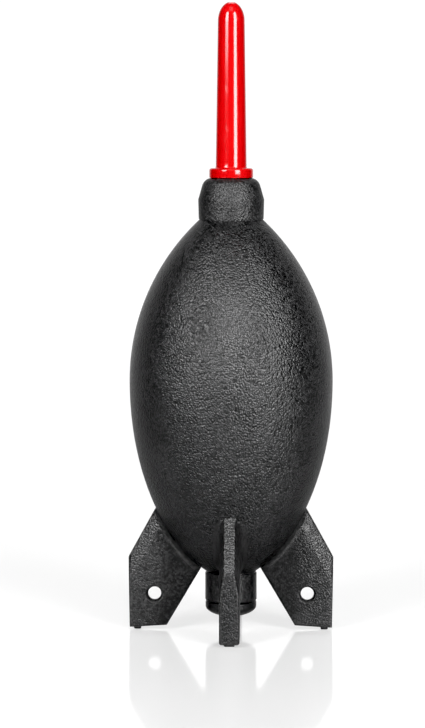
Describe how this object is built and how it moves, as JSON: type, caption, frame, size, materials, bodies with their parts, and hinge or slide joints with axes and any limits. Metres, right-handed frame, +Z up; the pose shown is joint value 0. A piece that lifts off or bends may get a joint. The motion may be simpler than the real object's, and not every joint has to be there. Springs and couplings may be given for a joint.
{
  "type": "dust blower bulb",
  "caption": "Rocket-shaped hand air blower: a hollow rubber squeeze bulb that stands on fins, with a slim nozzle on top and a one-way air inlet valve underneath.",
  "frame": {"origin": "on the bulb's axis, at the level of the foot pads", "axes": "+Z up along the bulb's axis towards the nozzle's tip, -Y towards the front fin, +X towards the right fin"},
  "size_m": [0.0624, 0.0624, 0.19],
  "materials": {
    "bulb_rubber": "matte, with a fine leather grain",
    "valve_rubber": "matte, lightly grained",
    "red_plastic": "polished",
    "flap_silicone": "satin"
  },
  "bodies": {
    "bulb": {"bulb_shell": "bulb_rubber", "fin_front": "bulb_rubber", "fin_right": "bulb_rubber", "fin_back": "bulb_rubber", "fin_left": "bulb_rubber", "valve_housing": "valve_rubber", "valve_cage": "valve_rubber"},
    "nozzle": {"nozzle": "red_plastic"},
    "grip_right": {"grip_wall_right": "bulb_rubber"},
    "grip_left": {"grip_wall_left": "bulb_rubber"},
    "flap": {"valve_flap": "flap_silicone"}
  },
  "joints": [
    {"name": "squeeze_right", "type": "slide", "parent": "bulb", "child": "grip_right", "axis": [-1, 0, 0], "range_m": [0, 0.014], "stiffness_N_per_m": 1500},
    {"name": "squeeze_left", "type": "slide", "parent": "bulb", "child": "grip_left", "axis": [1, 0, 0], "range_m": [0, 0.014], "stiffness_N_per_m": 1500},
    {"name": "nozzle_pull", "type": "slide", "parent": "bulb", "child": "nozzle", "axis": [0, 0, 1], "range_m": [0, 0.018]},
    {"name": "valve_lift", "type": "slide", "parent": "bulb", "child": "flap", "axis": [0, 0, 1], "range_m": [0, 0.0015]}
  ],
  "couplings": [
    {"joint": "squeeze_left", "follows": "squeeze_right", "ratio": 1}
  ]
}
